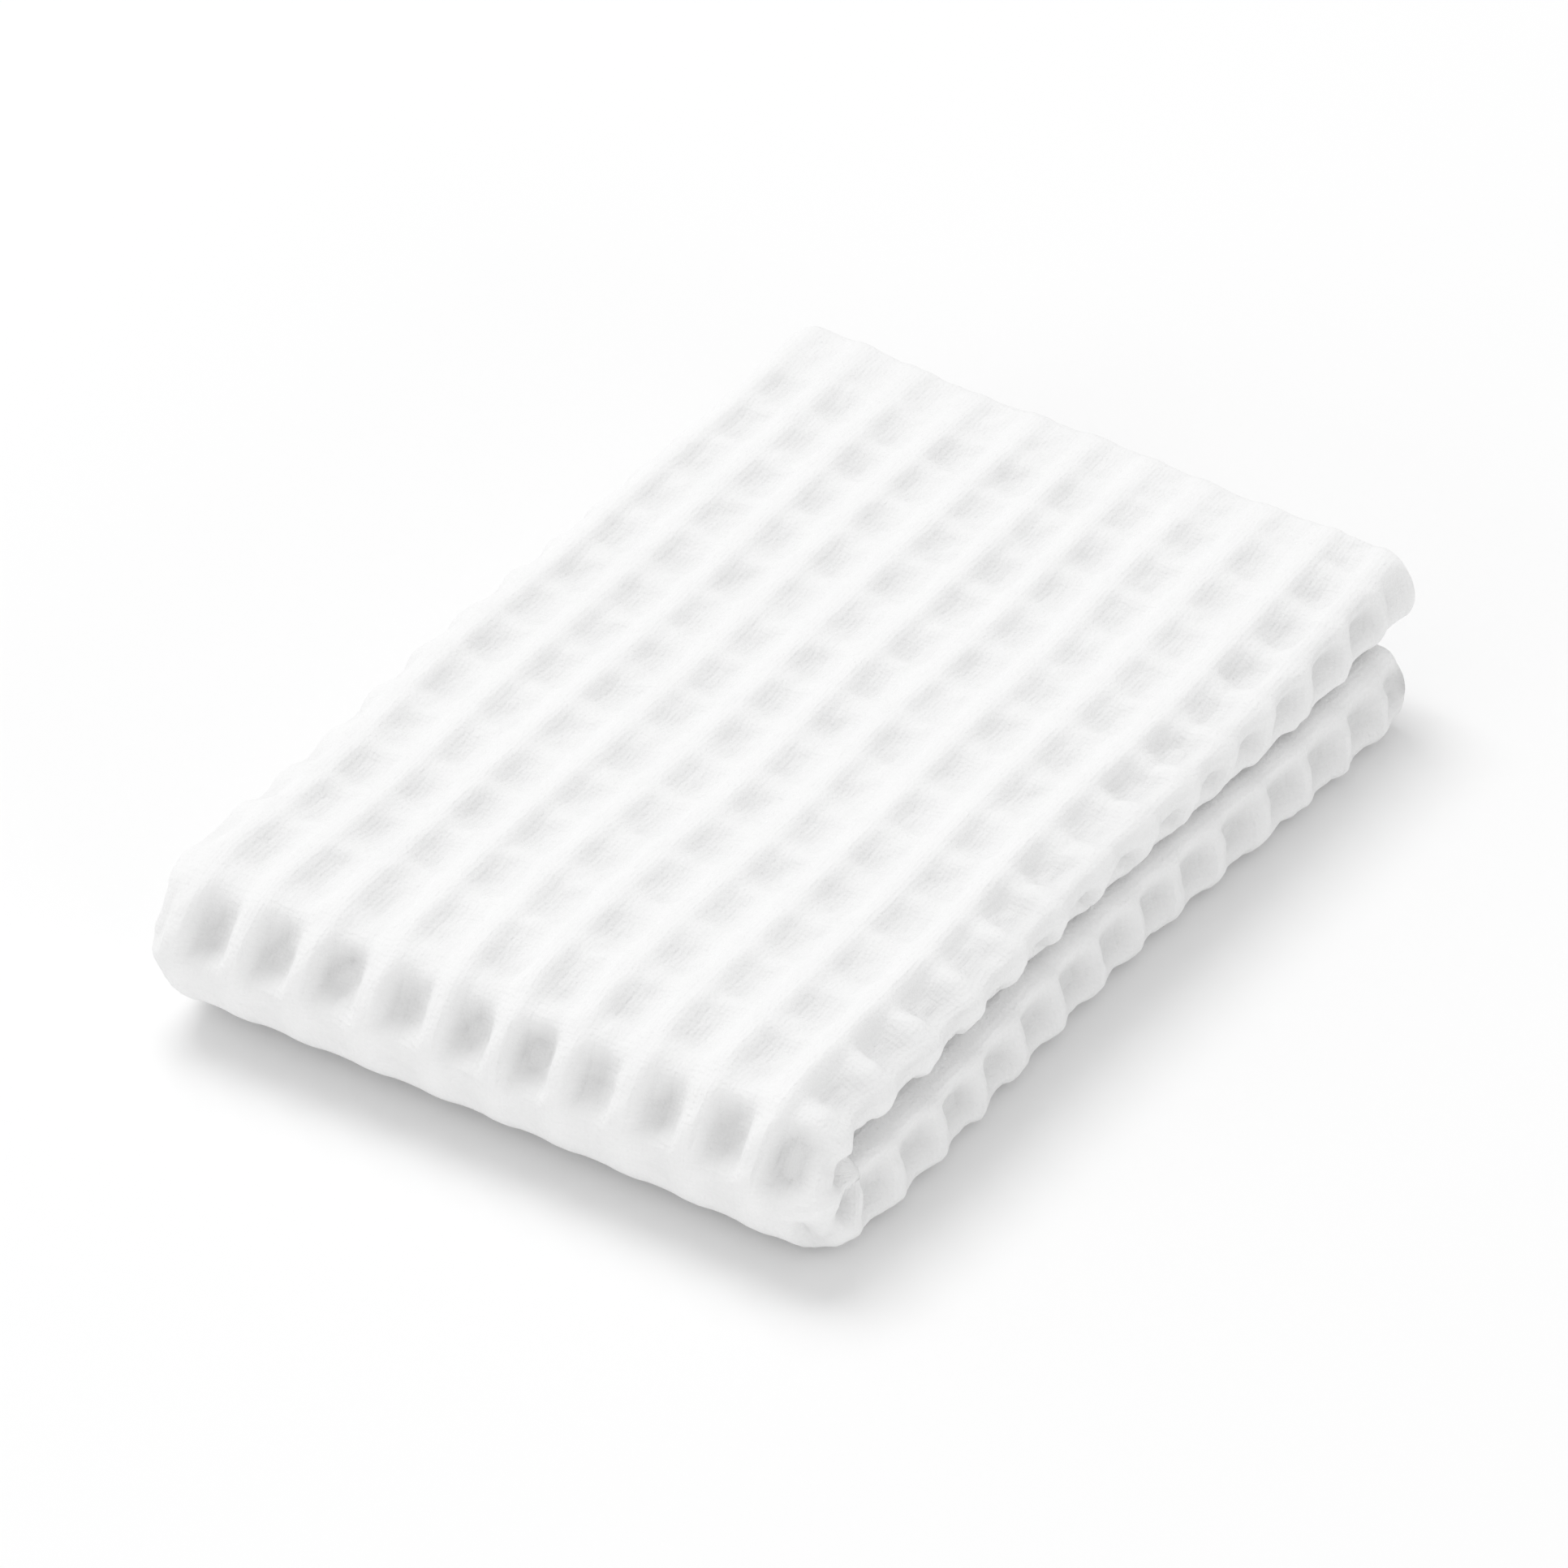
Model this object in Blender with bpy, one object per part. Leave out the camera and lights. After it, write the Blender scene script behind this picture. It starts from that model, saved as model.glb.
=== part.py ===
"""A white cotton hand towel in a large waffle weave, folded in thirds across and then in half along.

Sizes are in millimetres, and the finished mesh is turned into metres. Places on the cloth are given in cells of
the weave: columns across the towel and rows along it. A whole number is the middle of a cell and a half is the
rib between two cells. Columns 0 to 10 and rows 0 to 13 lie on the top of the packet. Rows below 0 go round the
front fold and back along the underside.
"""
import math
from collections import namedtuple

import bmesh
import bpy

METRES_PER_MM = 0.001

# Weave: the ribs that run along the towel stand highest, and the cross ribs a little lower. The cloth is
# stretched flatter round the left side folds.
CELL_ACROSS = 10.8
CELL_ALONG = 11.4
CELL_UNDER = 10.95
PIT_DEPTH = 2.6
CROSS_RIB_DROP = 0.35
LONG_RIB_DROP = 0.08
FOLD_PIT_GAIN = 0.25
LEFT_RELIEF = 0.4

# Layers: three in each half of the packet
HEIGHT = 28.8
LAYER_GAP = 0.475
HALVES_GAP = 1.0
FRONT_RADIUS = HEIGHT / 2
HALF_STACK = FRONT_RADIUS - HALVES_GAP / 2
CLOTH = (HALF_STACK - 2 * LAYER_GAP) / 3

# Side folds, and the bend that takes the left flap from the third layer up to the second
SIDE_RADIUS = HALF_STACK / 2
SIDE_LINE_RADIUS = SIDE_RADIUS - CLOTH / 2
STEP_RADIUS = 10.0
STEP_TURN = math.acos(1 - (CLOTH + LAYER_GAP) / (2 * STEP_RADIUS))
STEP_RUN = 2 * STEP_RADIUS * math.sin(STEP_TURN)

# Front fold, and how far the towel reaches above and below it
ROW_LINE_RADIUS = 10.4
MIDDLE_COLUMN = 5.0
MIDDLE_ROW = 6.0
BACK_ROW = 13.45
FRONT_ROW = -0.01
UNDER_ROW = FRONT_ROW - math.pi * ROW_LINE_RADIUS / CELL_ALONG
ROWS_UNDER = 13.35
LAST_ROW = UNDER_ROW - ROWS_UNDER
FRONT_Y = (FRONT_ROW - MIDDLE_ROW) * CELL_ALONG

# The front fold bulges forward at its left end
FRONT_BULGE = 4.0
BULGE_FROM_X = 58.0
BULGE_WIDTH = 115.0

# Free edges of the two flaps
LEFT_FLAP_COLUMN = -10.2
RIGHT_FLAP_COLUMN = 19.0

# Where the side folds start, and how far the packet is moved sideways there
FoldLine = namedtuple("FoldLine", "row left right moved")
FOLD_LINES = (
    FoldLine(BACK_ROW, 0.715, 10.33, 0.0),
    FoldLine(FRONT_ROW, 0.365, 9.68, 0.0),
    FoldLine(UNDER_ROW, 0.70, 10.14, -1.9),
    FoldLine(-9.7, 0.70, 10.14, -0.6),
    FoldLine(LAST_ROW, 0.70, 10.14, 4.8),
)

# The hem at the upper back edge is flatter than the rest, and runs a little askew
HEM_ROW = 12.5
HEM_RISE_ROWS = 0.5
HEM_RELIEF = 0.45
HEM_SKEW = 0.036

# Parts of the folds where the relief fades out: it lies flat underneath and between the halves, and fades
# sooner where the side folds are pinched in the front fold. There the inner half of a side fold is squarer.
Span = namedtuple("Span", "start stop")
FRONT_FADE = Span(math.radians(80), math.radians(120))
SIDE_FADE = Span(math.radians(130), math.radians(180))
PINCH_TURN = math.radians(40)
UNDER_FADE = Span(math.radians(5), math.radians(40))
CORNER_FILL = 0.6

# Lines of the mesh, in cells: close on the folds, one on every rib and pit between them, few where hidden
FOLD_STEP = 0.25
PANEL_STEP = 0.5
HIDDEN_STEP = 3.5
LEFT_BENDS = Span(-2.5, 1.0)
RIGHT_BENDS = Span(9.5, 12.0)
FRONT_BEND = Span(0.0, -2.75)

# Cotton
COTTON_COLOUR = (0.84, 0.84, 0.84, 1.0)
COTTON_ROUGHNESS = 0.92


def lines(start, stop, step):
    """Even places from start up to stop, at most a step apart and with stop left out."""
    count = math.ceil(round(abs(stop - start) / step, 6))
    return [start + k * (stop - start) / count for k in range(count)]


FACE_COLUMNS = (
    lines(LEFT_FLAP_COLUMN, LEFT_BENDS.start, HIDDEN_STEP)
    + lines(LEFT_BENDS.start, LEFT_BENDS.stop, FOLD_STEP)
    + lines(LEFT_BENDS.stop, RIGHT_BENDS.start, PANEL_STEP)
    + lines(RIGHT_BENDS.start, RIGHT_BENDS.stop, FOLD_STEP)
    + lines(RIGHT_BENDS.stop, RIGHT_FLAP_COLUMN, HIDDEN_STEP)
    + [RIGHT_FLAP_COLUMN]
)
REVERSE_COLUMNS = (
    lines(LEFT_FLAP_COLUMN, LEFT_BENDS.start, HIDDEN_STEP)
    + lines(LEFT_BENDS.start, LEFT_BENDS.stop, FOLD_STEP)
    + lines(LEFT_BENDS.stop, RIGHT_BENDS.start, HIDDEN_STEP)
    + lines(RIGHT_BENDS.start, RIGHT_BENDS.stop, FOLD_STEP)
    + lines(RIGHT_BENDS.stop, RIGHT_FLAP_COLUMN, HIDDEN_STEP)
    + [RIGHT_FLAP_COLUMN]
)
FRONT_ROWS = lines(FRONT_BEND.start, FRONT_BEND.stop, FOLD_STEP) + [FRONT_BEND.stop, UNDER_ROW]
FIRST_WHOLE_ROW = math.floor(BACK_ROW)
FIRST_UNDER_ROW = math.floor(UNDER_ROW)
LAST_HALF_ROW = math.ceil(LAST_ROW / PANEL_STEP) * PANEL_STEP
FACE_ROWS = (
    [BACK_ROW]
    + lines(FIRST_WHOLE_ROW, FRONT_BEND.start, PANEL_STEP)
    + FRONT_ROWS
    + lines(FIRST_UNDER_ROW, LAST_HALF_ROW, PANEL_STEP)
    + [LAST_HALF_ROW, LAST_ROW]
)
REVERSE_ROWS = (
    lines(BACK_ROW, FRONT_BEND.start, HIDDEN_STEP)
    + FRONT_ROWS
    + lines(FIRST_UNDER_ROW, LAST_ROW, HIDDEN_STEP)
    + [LAST_ROW]
)


def ramp(value, span):
    """0 up to the span's start, 1 from its stop on, smooth between them."""
    t = min(max((value - span.start) / (span.stop - span.start), 0.0), 1.0)
    return t * t * (3 - 2 * t)


def fold_line(row):
    """The side folds' places at a row, read from FOLD_LINES."""
    for ahead, behind in zip(FOLD_LINES, FOLD_LINES[1:]):
        if row >= behind.row:
            break
    t = (ahead.row - row) / (ahead.row - behind.row)
    return FoldLine(*(a + t * (b - a) for a, b in zip(ahead, behind)))


def side_turn(column, row):
    """How far round the nearer side fold a column is, in radians from the flat panel."""
    line = fold_line(row)
    past = max(column - line.right, line.left - column, 0.0)
    return past * CELL_ACROSS / SIDE_LINE_RADIUS


def front_turn(row):
    """How far round the front fold a row is, in radians."""
    return min(max((FRONT_ROW - row) * CELL_ALONG / ROW_LINE_RADIUS, 0.0), math.pi)


def across(column, row, depth):
    """Sideways place and depth in the half stack of a point that lies depth under the cloth's face."""
    line = fold_line(row)
    turn = side_turn(column, row)
    if turn == 0.0:
        return (column - MIDDLE_COLUMN) * CELL_ACROSS + line.moved, depth
    side = 1 if column > line.right else -1
    start = ((line.right if side > 0 else line.left) - MIDDLE_COLUMN) * CELL_ACROSS + line.moved
    if turn < math.pi:
        radius = SIDE_RADIUS - depth
        squarer = CORNER_FILL * math.sin(front_turn(row)) if turn > math.pi / 2 else 0.0
        reach = radius * math.sin(turn) ** (1 - squarer)
        return start + side * reach, SIDE_RADIUS - radius * math.cos(turn)
    run = (turn - math.pi) * SIDE_LINE_RADIUS
    if side > 0:
        return start - run, HALF_STACK - depth
    return left_flap(start, run, depth)


def left_flap(start, run, depth):
    """The left flap leaves its fold at the third layer and steps up to the second."""
    lift = CLOTH / 2 - depth
    level = HALF_STACK - CLOTH / 2
    bend = STEP_RADIUS * STEP_TURN
    if run < bend:
        turn = run / STEP_RADIUS
        x = start + STEP_RADIUS * math.sin(turn)
        n = level - STEP_RADIUS * (1 - math.cos(turn))
    elif run < 2 * bend:
        turn = 2 * STEP_TURN - run / STEP_RADIUS
        x = start + STEP_RUN - STEP_RADIUS * math.sin(turn)
        n = level - CLOTH - LAYER_GAP + STEP_RADIUS * (1 - math.cos(turn))
    else:
        turn = 0.0
        x = start + STEP_RUN + run - 2 * bend
        n = level - CLOTH - LAYER_GAP
    return x + lift * math.sin(turn), n + lift * math.cos(turn)


def along(row, depth):
    """Lengthways place and height of a point that lies depth under the packet's outer face."""
    turn = front_turn(row)
    if turn == 0.0:
        return (row - MIDDLE_ROW) * CELL_ALONG, HEIGHT - depth
    if turn < math.pi:
        radius = FRONT_RADIUS - depth
        return FRONT_Y - radius * math.sin(turn), FRONT_RADIUS + radius * math.cos(turn)
    return FRONT_Y + (UNDER_ROW - row) * CELL_UNDER, depth


def relief(column, row):
    """Depth of the weave's pits under its ribs, over the parts that show."""
    hollow_across = 1 - 2 * abs(column - round(column))
    hollow_along = 1 - 2 * abs(row - round(row))
    between_long_ribs = CROSS_RIB_DROP + (1 - CROSS_RIB_DROP) * hollow_along
    on_long_rib = LONG_RIB_DROP * hollow_along
    pit = hollow_across * between_long_ribs + (1 - hollow_across) * on_long_rib
    pit *= 1 + FOLD_PIT_GAIN * math.sin(front_turn(row))
    pit *= 1 - (1 - HEM_RELIEF) * ramp(row, Span(HEM_ROW, HEM_ROW + HEM_RISE_ROWS))
    turned = side_turn(column, row)
    if column < MIDDLE_COLUMN:
        pit *= 1 - (1 - LEFT_RELIEF) * math.sin(min(turned, math.pi))
    pinched = PINCH_TURN * math.sin(front_turn(row))
    underneath = ramp(front_turn(row), FRONT_FADE) * (1 - ramp(turned, UNDER_FADE))
    return PIT_DEPTH * pit * (1 - underneath) * (1 - ramp(turned + pinched, SIDE_FADE))


def place(column, row, depth):
    """A point of the folded towel, in metres."""
    x, stacked = across(column, row, depth)
    y, z = along(row, stacked)
    y -= HEM_SKEW * x * ramp(row, Span(HEM_ROW, BACK_ROW))
    y -= FRONT_BULGE * ((BULGE_FROM_X - x) / BULGE_WIDTH) ** 2 * math.sin(front_turn(row))
    return [value * METRES_PER_MM for value in (x, y, z)]


def grid(mesh, columns, rows, depth_at):
    return [[mesh.verts.new(place(c, r, depth_at(c, r))) for c in columns] for r in rows]


def pit_first(start, stop):
    """Whether the pit nearest to a short step between two places is at its start."""
    pit = round((start + stop) / 2)
    return abs(start - pit) < abs(stop - pit)


def skin(mesh, points, columns, rows, face_out):
    """Covers a grid with triangles whose diagonals run from rib crossings to pits."""
    for j in range(len(rows) - 1):
        for i in range(len(columns) - 1):
            a, b = points[j][i], points[j][i + 1]
            d, c = points[j + 1][i], points[j + 1][i + 1]
            if pit_first(columns[i], columns[i + 1]) == pit_first(rows[j], rows[j + 1]):
                halves = ((a, b, c), (a, c, d))
            else:
                halves = ((a, b, d), (b, c, d))
            for corners in halves:
                mesh.faces.new(corners[::-1] if face_out else corners)


def rim(mesh, face_edge, face_places, reverse_edge, reverse_places):
    """Joins an edge of the face to the same edge of the reverse, going along both at the same pace."""
    start = face_places[0]
    i = j = 0
    while i < len(face_edge) - 1 or j < len(reverse_edge) - 1:
        on_face = i < len(face_edge) - 1
        if on_face and j < len(reverse_edge) - 1:
            on_face = abs(face_places[i + 1] - start) <= abs(reverse_places[j + 1] - start)
        if on_face:
            mesh.faces.new((face_edge[i], face_edge[i + 1], reverse_edge[j]))
            i += 1
        else:
            mesh.faces.new((face_edge[i], reverse_edge[j + 1], reverse_edge[j]))
            j += 1


def towel_mesh():
    mesh = bmesh.new()
    face = grid(mesh, FACE_COLUMNS, FACE_ROWS, relief)
    reverse = grid(mesh, REVERSE_COLUMNS, REVERSE_ROWS, lambda column, row: CLOTH)
    skin(mesh, face, FACE_COLUMNS, FACE_ROWS, True)
    skin(mesh, reverse, REVERSE_COLUMNS, REVERSE_ROWS, False)
    for end in (0, -1):
        rim(mesh, face[end], FACE_COLUMNS, reverse[end], REVERSE_COLUMNS)
        face_side = [line[end] for line in face]
        reverse_side = [line[end] for line in reverse]
        rim(mesh, face_side, FACE_ROWS, reverse_side, REVERSE_ROWS)
    bmesh.ops.recalc_face_normals(mesh, faces=mesh.faces)
    return mesh


def centre_on_origin(mesh):
    """Puts the middle of the footprint on the origin, with the underside at height 0."""
    spans = [Span(min(v.co[axis] for v in mesh.verts), max(v.co[axis] for v in mesh.verts)) for axis in range(3)]
    wide, deep, tall = spans
    shift = (-(wide.start + wide.stop) / 2, -(deep.start + deep.stop) / 2, -tall.start)
    bmesh.ops.translate(mesh, verts=mesh.verts, vec=shift)


def cotton():
    material = bpy.data.materials.new("cotton")
    material.use_nodes = True
    shader = material.node_tree.nodes["Principled BSDF"]
    shader.inputs["Base Color"].default_value = COTTON_COLOUR
    shader.inputs["Roughness"].default_value = COTTON_ROUGHNESS
    shader.inputs["Metallic"].default_value = 0.0
    return material


def make_towel():
    mesh = towel_mesh()
    centre_on_origin(mesh)
    data = bpy.data.meshes.new("towel")
    mesh.to_mesh(data)
    mesh.free()
    data.materials.append(cotton())
    towel = bpy.data.objects.new("towel", data)
    bpy.context.scene.collection.objects.link(towel)


for old in list(bpy.data.objects):
    bpy.data.objects.remove(old, do_unlink=True)
make_towel()
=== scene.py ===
"""A folded white hand towel in a large waffle weave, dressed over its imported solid.

The towel is one sheet of cloth, folded in thirds across and then in half along. Sizes are in millimetres, and the
finished mesh is turned into metres. Places on the cloth are given in cells of the weave: columns across the towel
and rows along it. A whole number is the middle of a cell and a half is the rib between two cells. Columns 0 to 10
and rows 0 to 13 lie on the top of the packet. Rows below 0 go round the front fold and back along the underside.
"""
import math
from collections import namedtuple

import bpy
import numpy as np
from mathutils import Matrix, Vector


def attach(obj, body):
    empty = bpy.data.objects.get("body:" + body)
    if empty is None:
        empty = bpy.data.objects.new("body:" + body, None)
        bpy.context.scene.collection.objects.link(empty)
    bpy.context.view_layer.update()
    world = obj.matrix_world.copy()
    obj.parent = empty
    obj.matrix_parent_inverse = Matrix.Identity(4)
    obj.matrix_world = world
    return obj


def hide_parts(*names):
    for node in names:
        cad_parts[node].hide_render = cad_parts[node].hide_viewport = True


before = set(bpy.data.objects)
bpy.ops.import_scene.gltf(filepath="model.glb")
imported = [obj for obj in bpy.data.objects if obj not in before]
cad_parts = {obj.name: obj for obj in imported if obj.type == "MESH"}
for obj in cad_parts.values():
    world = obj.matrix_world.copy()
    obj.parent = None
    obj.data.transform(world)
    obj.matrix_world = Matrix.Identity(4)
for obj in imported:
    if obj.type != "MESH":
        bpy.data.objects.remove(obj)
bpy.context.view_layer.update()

METRES_PER_MM = 0.001
Span = namedtuple("Span", "start stop")

# Camera, fitted to the rows and columns of cells on the top
IMAGE_PIXELS = 1932
FOCAL_PIXELS = 8000.0
SENSOR_WIDTH = 36.0
CLIP_START = 0.05
CAMERA_AZIMUTH = math.radians(32.8)
CAMERA_ELEVATION = math.radians(37.6)
CAMERA_DISTANCE = 969.1
CAMERA_TARGET = Vector((-4.874, -0.234, 26.6))
TARGET_PIXEL = Vector((962.0, 868.6))

# Light, in metres: a white room, a soft lamp high up behind the left side, and low ones that fill in the front
# and the right side
WORLD_WHITE = (1.0, 1.0, 1.0)
WORLD_STRENGTH = 0.71
Lamp = namedtuple("Lamp", "name place size power")
LAMPS = (
    Lamp("high_lamp", Vector((-1.82, 0.84, 4.05)), 2.4, 87.0),
    Lamp("front_lamp", Vector((-0.70, -1.70, 0.40)), 1.0, 3.6),
    Lamp("side_lamp", Vector((1.75, -0.75, 0.20)), 1.0, 6.5),
)
FLOOR_SIZE = 8.0
FLOOR_WHITE = (0.90, 0.90, 0.90, 1.0)

# Weave: where a rib's flank starts and ends, from 0 on the rib's middle to 1 in the middle of the pit
CELL_ACROSS = 10.8
CELL_ALONG = 11.4
CELL_UNDER = 10.95
PIT_DEPTH = 2.6
LONG_FLANK = Span(0.16, 0.62)
CROSS_FLANK = Span(0.12, 0.66)
FLANK_SHARE = 0.6
FLOOR_POWER = 1.6
CROSS_RIB_DROP = 0.45
FOLD_RIB_LIFT = 0.6
PIT_LEAN = 0.06
DEEPEST = 4.0
FOLD_PIT_GAIN = 0.9
SIDE_PIT_GAIN = 0.8
SHOULDER = Span(-0.9, 0.1)
SIDE_BUCKLE = 0.25
LEFT_RELIEF = 0.4

# Layers: three in each half of the packet
HEIGHT = 28.8
LAYER_GAP = 0.475
HALVES_GAP = 1.0
FRONT_RADIUS = HEIGHT / 2
HALF_STACK = FRONT_RADIUS - HALVES_GAP / 2
CLOTH = (HALF_STACK - 2 * LAYER_GAP) / 3

# Side folds, and the bend that takes the left flap from the third layer up to the second
SIDE_RADIUS = HALF_STACK / 2
SIDE_LINE_RADIUS = SIDE_RADIUS - CLOTH / 2
STEP_RADIUS = 10.0
STEP_TURN = math.acos(1 - (CLOTH + LAYER_GAP) / (2 * STEP_RADIUS))
STEP_RUN = 2 * STEP_RADIUS * math.sin(STEP_TURN)
STEP_BEND = STEP_RADIUS * STEP_TURN

# Front fold, and how far the towel reaches above and below it
ROW_LINE_RADIUS = 10.4
MIDDLE_COLUMN = 5.0
MIDDLE_ROW = 6.0
BACK_ROW = 13.45
FRONT_ROW = -0.01
UNDER_ROW = FRONT_ROW - math.pi * ROW_LINE_RADIUS / CELL_ALONG
LAST_ROW = UNDER_ROW - 13.35
FRONT_Y = (FRONT_ROW - MIDDLE_ROW) * CELL_ALONG
FRONT_BULGE = 4.0
BULGE_FROM_X = 58.0
BULGE_WIDTH = 115.0

# Free edges of the two flaps, and how round the cloth's edges are
LEFT_FLAP_COLUMN = -10.2
RIGHT_FLAP_COLUMN = 19.0
EDGE_RADIUS = 2.1
EDGE_SHARE = 0.84

# Where the side folds start, and how far the packet is moved sideways there
FoldLine = namedtuple("FoldLine", "row left right moved")
FOLD_LINES = (
    FoldLine(BACK_ROW, 0.715, 10.33, 0.0),
    FoldLine(FRONT_ROW, 0.365, 9.68, 0.0),
    FoldLine(UNDER_ROW, 0.70, 10.14, -1.9),
    FoldLine(-9.7, 0.70, 10.14, -0.6),
    FoldLine(LAST_ROW, 0.70, 10.14, 4.8),
)

# The hem at the upper back edge is flatter than the rest, and runs a little askew
HEM_ROW = 12.5
HEM_RISE_ROWS = 0.5
HEM_RELIEF = 0.45
HEM_SKEW = 0.036

# Parts of the folds where the relief fades out, and what is left of it under the packet's weight
SIDE_FADE = Span(math.radians(150), math.radians(180))
PINCH_TURN = math.radians(40)
FRONT_FADE = Span(math.radians(80), math.radians(120))
UNDER_FADE = Span(math.radians(5), math.radians(40))
UNDER_RELIEF = 0.08

# How much squarer the inner half of a side fold is: where it goes round the front fold, and where the two
# halves press on each other, which they do more and more over the first rows from the back
CORNER_FILL = 0.75
SIDE_FILL = 0.42
SIDE_FILL_ROWS = Span(0.3, 3.0)

# Unevenness of the real cloth, a sum of waves: each kind's reach and amount are in cells or millimetres
Uneven = namedtuple("Uneven", "seed reach amount")
WAVES = 7
WAVE_STRETCH = Span(1.3, 3.2)
COLUMN_WANDER = Uneven(3, 2.6, 0.05)
ROW_WANDER = Uneven(4, 2.2, 0.05)
DEPTH_CHANGE = Uneven(5, 1.1, 0.10)
CRINKLE = Uneven(9, 0.16, 0.05)
TOP_SWELL = Uneven(6, 42.0, 0.45)
SIDE_SWELL = Uneven(7, 30.0, 0.5)
END_WAVE = Uneven(8, 24.0, 0.5)
END_WAVE_Y = Span(40.0, 85.0)
END_WAVE_STEEPNESS = 2
SWAY_FULL_X = 60.0

# Cotton and its yarns: sizes in mm, scales in steps a metre
# Painted shade: the pits are blended from the cotton's own white towards the darker grey by their depth, and more
# on the folds. The random blotches blend towards the same grey as the cloth's own uneven tone.
COTTON_RIB = (0.88, 0.88, 0.88, 1.0)
COTTON_PAINTED_SHADE_AND_BLOTCH = (0.66, 0.66, 0.66, 1.0)
PIT_PAINTED_SHADE = 0.18
PIT_PAINTED_SHADE_POWER = 1.3
FOLD_PAINTED_SHADE = 1.2
BLOTCH_TONE = 0.12
# Painted shade: the grooves between the yarns are a little darker than their crests.
YARN_PAINTED_SHADE = 0.06
YARNS_A_CELL = 15.0
YARN_HEIGHT = 0.08
YARN_STRAY = 0.035
FLOAT_SHARE = 0.16
TUCK_SHARE = 0.10
FIBRE_SHARE = 2.2
FIBRE_SCALE = 1500.0
STRAY_SCALE = 500.0
BLOTCH_SCALE = 90.0
FIBRE_DETAIL = 2.0
STRAY_DETAIL = 1.0
BLOTCH_DETAIL = 1.0
ROUGHNESS = 0.88
ROUGHNESS_CHANGE = 0.1
SPECULAR_LEVEL = 0.15
SHEEN = 0.15
SHEEN_ROUGHNESS = 0.5

# Lines of the mesh to each cell, and where the folds have theirs closer
TOP_LINES = 13
FOLD_LINES_A_CELL = 15
UNDER_LINES = 8
HIDDEN_LINES = 2
REVERSE_FOLD_LINES = 4
LEFT_FOLD_COLUMNS = Span(-2.2, 1.0)
RIGHT_FOLD_COLUMNS = Span(9.5, 12.2)
FRONT_FOLD_ROW = 0.5

# Turns at which a rounded edge has its lines, in degrees
EDGE_TURNS = (0.0, 20.0, 45.0, 70.0)


def ramp(value, span):
    """0 up to the span's start, 1 from its stop on, smooth between them."""
    t = np.clip((value - span.start) / (span.stop - span.start), 0.0, 1.0)
    return t * t * (3 - 2 * t)


def uneven(kind, x, y):
    """A smooth random surface of about plus or minus the kind's amount, with swells of its reach."""
    dice = np.random.default_rng(kind.seed)
    total = 0.0
    for _ in range(WAVES):
        heading = dice.uniform(0, 2 * math.pi)
        rate = 2 * math.pi / (kind.reach * dice.uniform(*WAVE_STRETCH))
        offset = dice.uniform(0, 2 * math.pi)
        headway = x * math.cos(heading) + y * math.sin(heading)
        total = total + np.sin(rate * headway + offset)
    return kind.amount * total / math.sqrt(WAVES)


def fold_line(row):
    """The side folds' places at each row, read from FOLD_LINES."""
    keys = [-line.row for line in FOLD_LINES]
    parts = zip(*FOLD_LINES)
    return FoldLine(*(np.interp(-row, keys, values) for values in parts))


def side_turn(column, row):
    """How far round the nearer side fold a column is, in radians from the flat panel."""
    line = fold_line(row)
    past = np.maximum(np.maximum(column - line.right, line.left - column), 0.0)
    return past * CELL_ACROSS / SIDE_LINE_RADIUS


def front_turn(row):
    """How far round the front fold a row is, in radians."""
    return np.clip((FRONT_ROW - row) * CELL_ALONG / ROW_LINE_RADIUS, 0.0, math.pi)


def across(column, row, depth):
    """Sideways place and depth in the half stack of a point that lies depth under the cloth's face."""
    line = fold_line(row)
    side = np.where(column > line.right, 1.0, -1.0)
    edge = np.clip(column, line.left, line.right)
    start = (edge - MIDDLE_COLUMN) * CELL_ACROSS + line.moved
    past = np.abs(column - edge) * CELL_ACROSS
    turn = np.minimum(past / SIDE_LINE_RADIUS, math.pi)
    run = np.maximum(past - math.pi * SIDE_LINE_RADIUS, 0.0)
    radius = SIDE_RADIUS - depth
    from_end = np.minimum(BACK_ROW - row, row - LAST_ROW)
    at_corner = CORNER_FILL * np.sin(front_turn(row))
    between_halves = SIDE_FILL * ramp(from_end, SIDE_FILL_ROWS)
    squarer = np.where(turn > math.pi / 2, np.maximum(at_corner, between_halves), 0.0)
    x = start + side * (radius * np.sin(turn) ** (1 - squarer) - run)
    n = SIDE_RADIUS - radius * np.cos(turn)
    on_left_flap = (run > 0) & (side < 0)
    flap_x, flap_n = left_flap(start, run, depth)
    return np.where(on_left_flap, flap_x, x), np.where(on_left_flap, flap_n, n)


def left_flap(start, run, depth):
    """The left flap leaves its fold at the third layer and steps up to the second."""
    lift = CLOTH / 2 - depth
    level = HALF_STACK - CLOTH / 2
    first = run < STEP_BEND
    second = (run >= STEP_BEND) & (run < 2 * STEP_BEND)
    turn = np.where(first, run / STEP_RADIUS, np.where(second, 2 * STEP_TURN - run / STEP_RADIUS, 0.0))
    sweep = STEP_RADIUS * np.sin(turn)
    rise = STEP_RADIUS * (1 - np.cos(turn))
    x = np.where(first, sweep, STEP_RUN - sweep + np.maximum(run - 2 * STEP_BEND, 0.0))
    n = np.where(first, level - rise, level - CLOTH - LAYER_GAP + rise)
    return start + x + lift * np.sin(turn), n + lift * np.cos(turn)


def along(row, depth):
    """Lengthways place and height of a point that lies depth under the packet's outer face."""
    turn = front_turn(row)
    radius = FRONT_RADIUS - depth
    y = FRONT_Y - radius * np.sin(turn)
    y = y + np.maximum(row - FRONT_ROW, 0.0) * CELL_ALONG + np.maximum(UNDER_ROW - row, 0.0) * CELL_UNDER
    return y, FRONT_RADIUS + radius * np.cos(turn)


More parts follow.
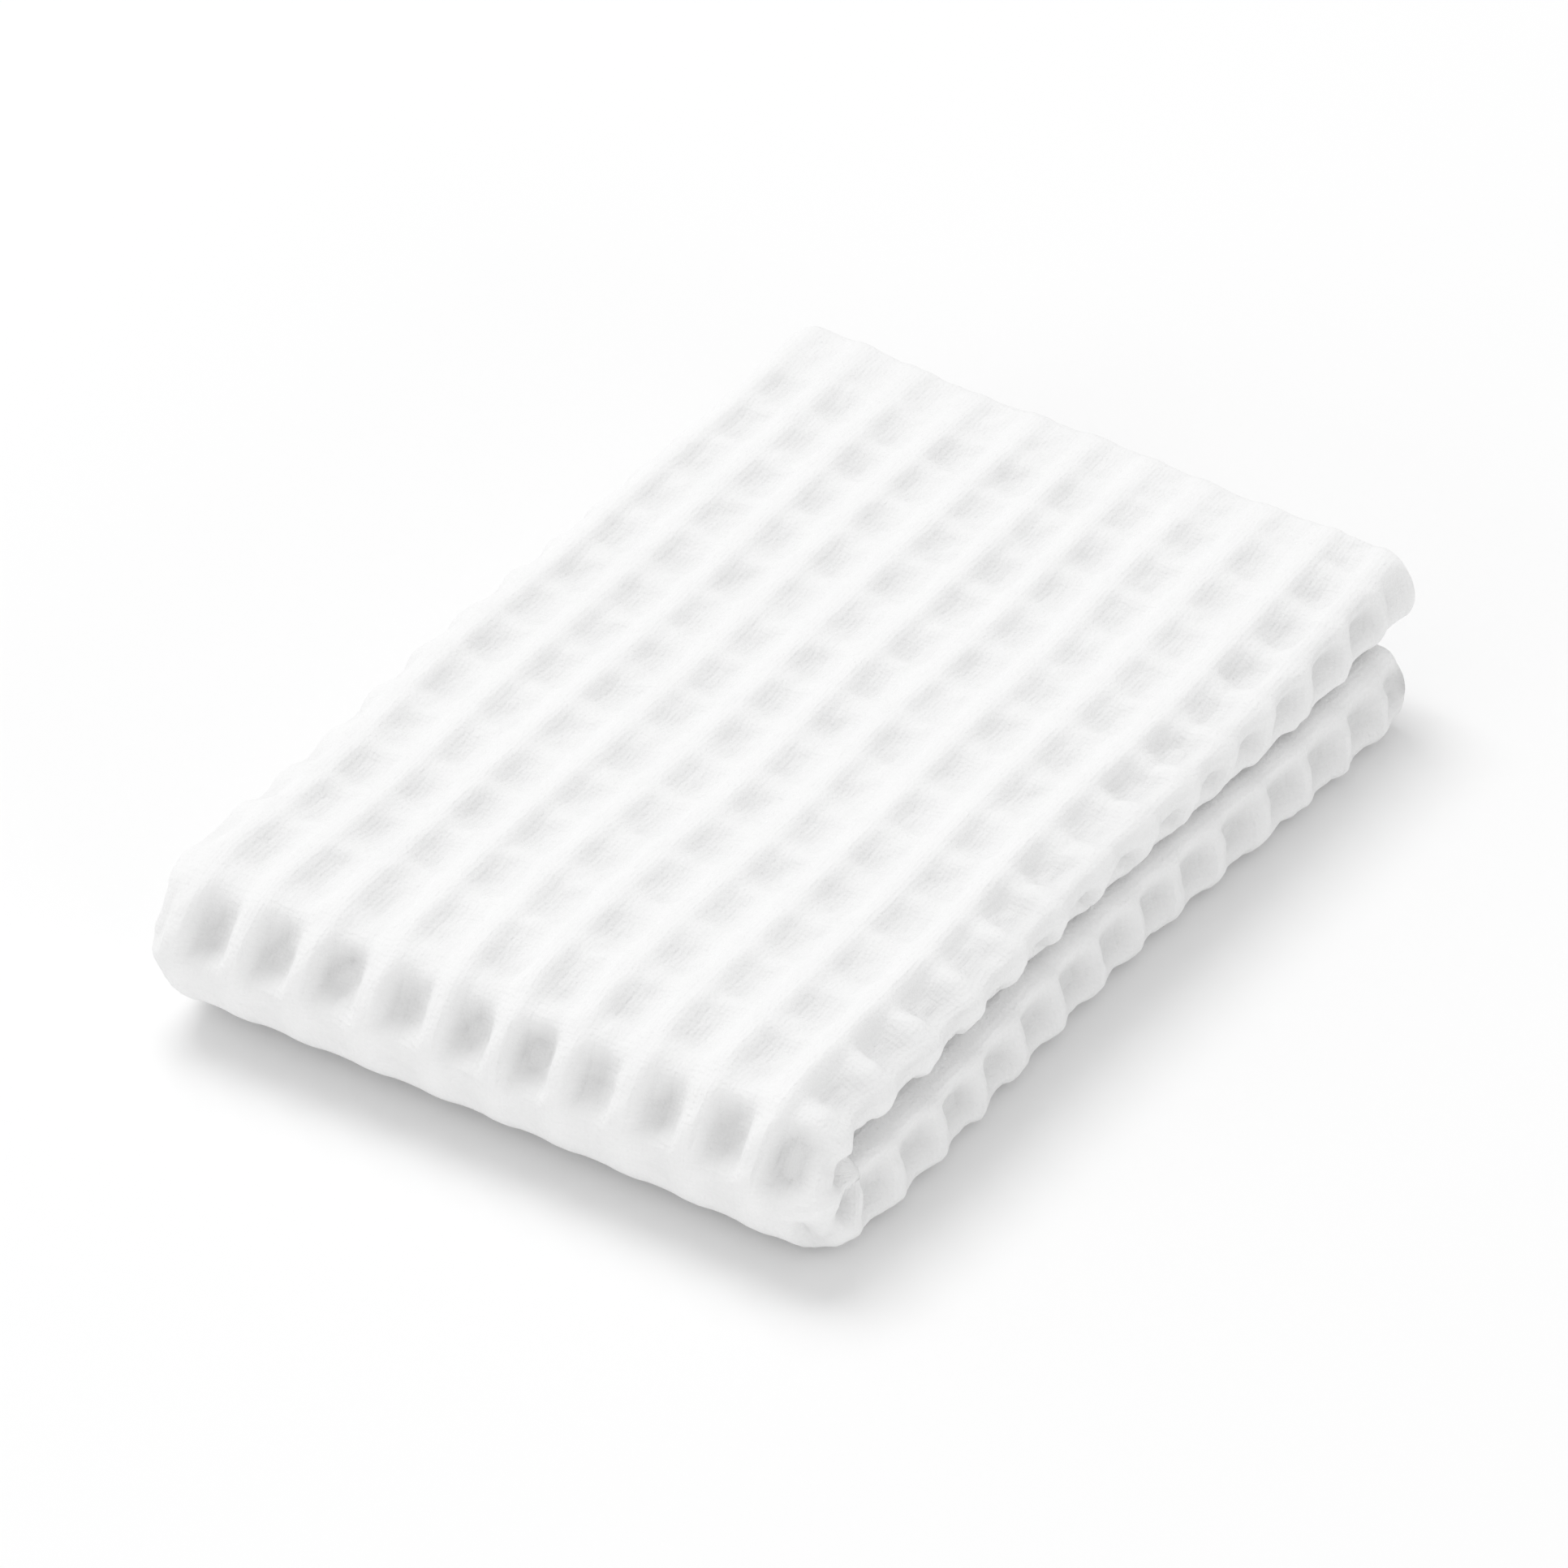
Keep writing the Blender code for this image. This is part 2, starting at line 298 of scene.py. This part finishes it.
def hollow(off_middle, flank):
    """0 on a rib and 1 in the middle of the pit beside it: a steep flank first, then a gentler slope."""
    inwards = 1 - 2 * np.abs(off_middle)
    return FLANK_SHARE * ramp(inwards, flank) + (1 - FLANK_SHARE) * np.maximum(inwards, 0.0) ** FLOOR_POWER


def woven(column, row):
    """Column and row as the real weave has them, a little off the straight."""
    return column + uneven(COLUMN_WANDER, column, row), row + uneven(ROW_WANDER, column, row)


def relief(column, row):
    """Depth of the weave's pits under its ribs."""
    c, r = woven(column, row)
    off_middle = c - np.round(c)
    off_middle = off_middle + PIT_LEAN * (1 - 4 * off_middle ** 2)
    hollow_across = hollow(off_middle, LONG_FLANK)
    hollow_along = hollow(r - np.round(r), CROSS_FLANK)
    turned = side_turn(column, row)
    sideways = np.sin(np.minimum(turned, math.pi))
    forward = np.sin(front_turn(row)) * (1 - sideways)
    rib_drop = CROSS_RIB_DROP * (1 - FOLD_RIB_LIFT * (forward + sideways))
    pit = hollow_across * (rib_drop + (1 - rib_drop) * hollow_along)
    pit += (1 - hollow_across) * SIDE_BUCKLE * sideways * hollow_along
    pit *= 1 + uneven(DEPTH_CHANGE, column, row)
    shoulder = ramp(column - fold_line(row).right, SHOULDER)
    pit *= 1 + FOLD_PIT_GAIN * forward + SIDE_PIT_GAIN * shoulder
    pit *= 1 - (1 - HEM_RELIEF) * ramp(row, Span(HEM_ROW, HEM_ROW + HEM_RISE_ROWS))
    pit *= 1 - (1 - LEFT_RELIEF) * sideways * (column < MIDDLE_COLUMN)
    pinched = PINCH_TURN * np.sin(front_turn(row))
    underneath = ramp(front_turn(row), FRONT_FADE) * (1 - ramp(turned, UNDER_FADE))
    pit *= 1 - (1 - UNDER_RELIEF) * underneath
    pit += (uneven(CRINKLE, column, row) + CRINKLE.amount) * (1 - underneath)
    return np.clip(PIT_DEPTH * pit, 0.0, DEEPEST) * (1 - ramp(turned + pinched, SIDE_FADE))


def painted_pit_shade(column, row):
    """Painted shade for the pits of the weave: the deeper the pit, the darker, and more so on the folds, where
    the pits are drawn together.
    """
    drawn = np.maximum(np.sin(front_turn(row)), np.sin(np.minimum(side_turn(column, row), math.pi)))
    return (relief(column, row) / PIT_DEPTH) ** PIT_PAINTED_SHADE_POWER * (1 + FOLD_PAINTED_SHADE * drawn)


def edge_rounding(column, row):
    """How far the cloth's two faces draw in towards each other at its free edges."""
    ends = np.minimum(BACK_ROW - row, row - LAST_ROW) * CELL_ALONG
    sides = np.minimum(column - LEFT_FLAP_COLUMN, RIGHT_FLAP_COLUMN - column) * CELL_ACROSS
    near = np.clip(1 - np.minimum(ends, sides) / EDGE_RADIUS, 0.0, 1.0)
    return EDGE_SHARE * (1 - np.sqrt(1 - near * near))


def face_depth(column, row):
    drawn = edge_rounding(column, row)
    return relief(column, row) * (1 - drawn) + drawn * CLOTH / 2


def reverse_depth(column, row):
    return CLOTH - edge_rounding(column, row) * CLOTH / 2


def place(column, row, depth):
    """Points of the folded towel, in millimetres."""
    x, stacked = across(column, row, depth)
    y, z = along(row, stacked)
    y = y - HEM_SKEW * x * ramp(row, Span(HEM_ROW, BACK_ROW))
    y = y - FRONT_BULGE * ((BULGE_FROM_X - x) / BULGE_WIDTH) ** 2 * np.sin(front_turn(row))
    swell = uneven(TOP_SWELL, x, y) * z / HEIGHT
    sway = uneven(SIDE_SWELL, y, z) * np.clip(np.abs(x) / SWAY_FULL_X, 0.0, 1.0) ** 2
    wave = uneven(END_WAVE, x, z * END_WAVE_STEEPNESS) * ramp(y, END_WAVE_Y)
    return np.stack([x + sway, y + wave, z + swell], axis=-1)


def lines(start, stop, a_cell):
    """Even places from start up to stop, with at least so many a cell and stop left out."""
    count = math.ceil(round(abs(stop - start) * a_cell, 6))
    return np.linspace(start, stop, count, endpoint=False)


def edge_lines(edge, inwards, cell):
    """Close places that round an edge, going in from it."""
    return edge + inwards * EDGE_RADIUS / cell * (1 - np.cos(np.radians(EDGE_TURNS)))


def columns_of(panel_lines, fold_lines):
    start = edge_lines(LEFT_FLAP_COLUMN, 1, CELL_ACROSS)
    stop = edge_lines(RIGHT_FLAP_COLUMN, -1, CELL_ACROSS)[::-1]
    inner = EDGE_RADIUS / CELL_ACROSS
    return np.concatenate([
        start,
        lines(LEFT_FLAP_COLUMN + inner, LEFT_FOLD_COLUMNS.start, HIDDEN_LINES),
        lines(*LEFT_FOLD_COLUMNS, fold_lines),
        lines(LEFT_FOLD_COLUMNS.stop, RIGHT_FOLD_COLUMNS.start, panel_lines),
        lines(*RIGHT_FOLD_COLUMNS, fold_lines),
        lines(RIGHT_FOLD_COLUMNS.stop, RIGHT_FLAP_COLUMN - inner, HIDDEN_LINES),
        [RIGHT_FLAP_COLUMN - inner],
        stop,
    ])


def rows_of(panel_lines, fold_lines, under_lines):
    inner = EDGE_RADIUS / CELL_ALONG
    return np.concatenate([
        edge_lines(BACK_ROW, -1, CELL_ALONG),
        lines(BACK_ROW - inner, FRONT_FOLD_ROW, panel_lines),
        lines(FRONT_FOLD_ROW, UNDER_ROW, fold_lines),
        lines(UNDER_ROW, LAST_ROW + inner, under_lines),
        [LAST_ROW + inner],
        edge_lines(LAST_ROW, 1, CELL_ALONG)[::-1],
    ])


def grid_faces(columns, rows, first, face_out):
    """Four-sided faces over a grid of points whose numbers start at first."""
    wide = len(columns)
    j, i = np.meshgrid(np.arange(len(rows) - 1), np.arange(wide - 1), indexing="ij")
    a = first + j * wide + i
    corners = [a, a + 1, a + wide + 1, a + wide]
    if face_out:
        corners.reverse()
    return np.stack(corners, axis=-1).reshape(-1, 4).tolist()


def rim_faces(face_edge, face_places, reverse_edge, reverse_places):
    """Triangles that join an edge of the face to the same edge of the reverse, at the same pace."""
    faces = []
    i = j = 0
    while i < len(face_edge) - 1 or j < len(reverse_edge) - 1:
        on_face = i < len(face_edge) - 1
        if on_face and j < len(reverse_edge) - 1:
            start = face_places[0]
            on_face = abs(face_places[i + 1] - start) <= abs(reverse_places[j + 1] - start)
        if on_face:
            faces.append((face_edge[i], face_edge[i + 1], reverse_edge[j]))
            i += 1
        else:
            faces.append((face_edge[i], reverse_edge[j + 1], reverse_edge[j]))
            j += 1
    return faces


def towel_mesh():
    """The whole cloth as one closed mesh. Each point keeps its column and row of the weave and the painted shade
    of its pits.
    """
    face_columns = columns_of(TOP_LINES, FOLD_LINES_A_CELL)
    face_rows = rows_of(TOP_LINES, FOLD_LINES_A_CELL, UNDER_LINES)
    reverse_columns = columns_of(HIDDEN_LINES, REVERSE_FOLD_LINES)
    reverse_rows = rows_of(HIDDEN_LINES, REVERSE_FOLD_LINES, HIDDEN_LINES)
    face_cells = np.meshgrid(face_columns, face_rows)
    reverse_cells = np.meshgrid(reverse_columns, reverse_rows)
    face_points = place(*face_cells, face_depth(*face_cells)).reshape(-1, 3)
    reverse_points = place(*reverse_cells, reverse_depth(*reverse_cells)).reshape(-1, 3)
    points = np.concatenate([face_points, reverse_points])
    low, high = points.min(axis=0), points.max(axis=0)
    points -= [(low[0] + high[0]) / 2, (low[1] + high[1]) / 2, low[2]]

    first = len(face_points)
    faces = grid_faces(face_columns, face_rows, 0, True)
    faces += grid_faces(reverse_columns, reverse_rows, first, False)
    face_ids = np.arange(first).reshape(len(face_rows), -1)
    reverse_ids = np.arange(first, len(points)).reshape(len(reverse_rows), -1)
    for end in (0, -1):
        faces += rim_faces(face_ids[end].tolist(), face_columns, reverse_ids[end].tolist(), reverse_columns)
        faces += rim_faces(face_ids[:, end].tolist(), face_rows, reverse_ids[:, end].tolist(), reverse_rows)

    mesh = bpy.data.meshes.new("waffle_towel")
    mesh.from_pydata((points * METRES_PER_MM).tolist(), [], faces)
    # The weave attribute holds the wandered column and row, and as its third value the painted shade of the pits;
    # the hidden reverse gets no painted shade.
    weave = np.concatenate([
        np.stack([*woven(*face_cells), painted_pit_shade(*face_cells)], axis=-1).reshape(-1, 3),
        np.stack([*woven(*reverse_cells), np.zeros_like(reverse_cells[0])], axis=-1).reshape(-1, 3),
    ])
    attribute = mesh.attributes.new("weave", "FLOAT_VECTOR", "POINT")
    attribute.data.foreach_set("vector", weave.ravel())
    mesh.shade_smooth()
    return mesh


class NodeMaker:
    """Adds nodes to a material and joins them, so that each line of a material reads as one step."""

    def __init__(self, material):
        material.use_nodes = True
        self.tree = material.node_tree
        self.shader = self.tree.nodes["Principled BSDF"]

    def join(self, value, socket):
        if isinstance(value, bpy.types.NodeSocket):
            self.tree.links.new(value, socket)
        else:
            socket.default_value = value

    def math(self, operation, *values):
        node = self.tree.nodes.new("ShaderNodeMath")
        node.operation = operation
        for value, socket in zip(values, node.inputs):
            self.join(value, socket)
        return node.outputs[0]

    def noise(self, place, scale, detail):
        node = self.tree.nodes.new("ShaderNodeTexNoise")
        self.join(place, node.inputs["Vector"])
        node.inputs["Scale"].default_value = scale
        node.inputs["Detail"].default_value = detail
        return node.outputs["Fac"]

    def blend(self, share, first, second):
        node = self.tree.nodes.new("ShaderNodeMix")
        node.data_type = "RGBA"
        self.join(share, node.inputs["Factor"])
        self.join(first, node.inputs["A"])
        self.join(second, node.inputs["B"])
        return node.outputs["Result"]

    def bump(self, height, distance):
        node = self.tree.nodes.new("ShaderNodeBump")
        self.join(height, node.inputs["Height"])
        node.inputs["Distance"].default_value = distance
        return node.outputs["Normal"]


def cotton():
    """Matte white cotton, with shade painted into its pits.

    Its yarns are a fine bump of square rings going down into each pit.
    """
    material = bpy.data.materials.new("waffle_cotton")
    make = NodeMaker(material)
    attribute = make.tree.nodes.new("ShaderNodeAttribute")
    attribute.attribute_name = "weave"
    split = make.tree.nodes.new("ShaderNodeSeparateXYZ")
    make.join(attribute.outputs["Vector"], split.inputs[0])
    object_place = make.tree.nodes.new("ShaderNodeTexCoord").outputs["Object"]

    from_column = make.math("PINGPONG", split.outputs["X"], 0.5)
    from_row = make.math("PINGPONG", split.outputs["Y"], 0.5)
    stray = make.math("MULTIPLY", make.noise(object_place, STRAY_SCALE, STRAY_DETAIL), YARN_STRAY)
    ring = make.math("ADD", make.math("MAXIMUM", from_column, from_row), stray)
    across_yarn = make.math("ADD", make.math("MINIMUM", from_column, from_row), stray)
    float_wave = make.math("SINE", make.math("MULTIPLY", ring, 2 * math.pi * YARNS_A_CELL))
    tuck_wave = make.math("SINE", make.math("MULTIPLY", across_yarn, 2 * math.pi * YARNS_A_CELL))
    fibres = make.noise(object_place, FIBRE_SCALE, FIBRE_DETAIL)
    unevenness = make.noise(object_place, BLOTCH_SCALE, BLOTCH_DETAIL)
    floats = make.math("MULTIPLY", float_wave, FLOAT_SHARE)
    tucks = make.math("MULTIPLY", tuck_wave, TUCK_SHARE)
    yarns = make.math("ADD", floats, tucks)
    height = make.math("ADD", yarns, make.math("MULTIPLY", fibres, FIBRE_SHARE))
    make.join(make.bump(height, YARN_HEIGHT * METRES_PER_MM), make.shader.inputs["Normal"])

    # Painted shade: deeper pits and the grooves between the yarns are blended towards the darker grey, and the
    # blotches add the cloth's own uneven tone.
    painted_shade_and_blotch = make.math("MULTIPLY", split.outputs["Z"], PIT_PAINTED_SHADE)
    painted_shade_and_blotch = make.math("ADD", painted_shade_and_blotch, make.math("MULTIPLY", unevenness, BLOTCH_TONE))
    painted_shade_and_blotch = make.math("SUBTRACT", painted_shade_and_blotch, make.math("MULTIPLY", yarns, YARN_PAINTED_SHADE))
    make.join(make.blend(painted_shade_and_blotch, COTTON_RIB, COTTON_PAINTED_SHADE_AND_BLOTCH), make.shader.inputs["Base Color"])
    make.join(make.math("MULTIPLY_ADD", fibres, ROUGHNESS_CHANGE, ROUGHNESS), make.shader.inputs["Roughness"])
    make.shader.inputs["Specular IOR Level"].default_value = SPECULAR_LEVEL
    make.shader.inputs["Sheen Weight"].default_value = SHEEN
    make.shader.inputs["Sheen Roughness"].default_value = SHEEN_ROUGHNESS
    return material


def make_towel():
    piece = bpy.data.objects.new("waffle_towel", towel_mesh())
    piece.data.materials.append(cotton())
    bpy.context.scene.collection.objects.link(piece)
    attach(piece, "root")
    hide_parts("towel")
    return piece


def make_floor():
    half = FLOOR_SIZE / 2
    mesh = bpy.data.meshes.new("floor")
    mesh.from_pydata([(-half, -half, 0), (half, -half, 0), (half, half, 0), (-half, half, 0)], [], [(0, 1, 2, 3)])
    floor = bpy.data.objects.new("floor", mesh)
    bpy.context.scene.collection.objects.link(floor)
    material = bpy.data.materials.new("floor_white")
    material.use_nodes = True
    shader = material.node_tree.nodes["Principled BSDF"]
    shader.inputs["Base Color"].default_value = FLOOR_WHITE
    shader.inputs["Roughness"].default_value = 1.0
    shader.inputs["Specular IOR Level"].default_value = 0.0
    mesh.materials.append(material)
    return floor


def make_camera():
    """A long lens from the photograph's side, shifted so that the target shows at its own pixel."""
    data = bpy.data.cameras.new("camera")
    data.sensor_width = SENSOR_WIDTH
    data.lens = FOCAL_PIXELS / IMAGE_PIXELS * SENSOR_WIDTH
    data.shift_x = (IMAGE_PIXELS / 2 - TARGET_PIXEL.x) / IMAGE_PIXELS
    data.shift_y = (TARGET_PIXEL.y - IMAGE_PIXELS / 2) / IMAGE_PIXELS
    data.clip_start = CLIP_START
    camera = bpy.data.objects.new("camera", data)
    level = math.cos(CAMERA_ELEVATION)
    back = Vector((
        math.sin(CAMERA_AZIMUTH) * level,
        -math.cos(CAMERA_AZIMUTH) * level,
        math.sin(CAMERA_ELEVATION),
    ))
    right = Vector((math.cos(CAMERA_AZIMUTH), math.sin(CAMERA_AZIMUTH), 0.0))
    up = back.cross(right)
    turned = Matrix((right, up, back)).transposed()
    centre = (CAMERA_TARGET + back * CAMERA_DISTANCE) * METRES_PER_MM
    camera.matrix_world = Matrix.Translation(centre) @ turned.to_4x4()
    bpy.context.scene.collection.objects.link(camera)
    bpy.context.scene.camera = camera


def make_light():
    scene = bpy.context.scene
    world = bpy.data.worlds.new("white_room")
    scene.world = world
    world.use_nodes = True
    background = world.node_tree.nodes["Background"]
    background.inputs["Color"].default_value = (*WORLD_WHITE, 1.0)
    background.inputs["Strength"].default_value = WORLD_STRENGTH
    for lamp in LAMPS:
        data = bpy.data.lights.new(lamp.name, "AREA")
        data.size = lamp.size
        data.energy = lamp.power
        placed = bpy.data.objects.new(lamp.name, data)
        placed.location = lamp.place
        placed.rotation_euler = (-lamp.place).to_track_quat("-Z", "Y").to_euler()
        scene.collection.objects.link(placed)
    scene.view_settings.view_transform = "Standard"


make_camera()
make_light()
floor = make_floor()
towel = make_towel()
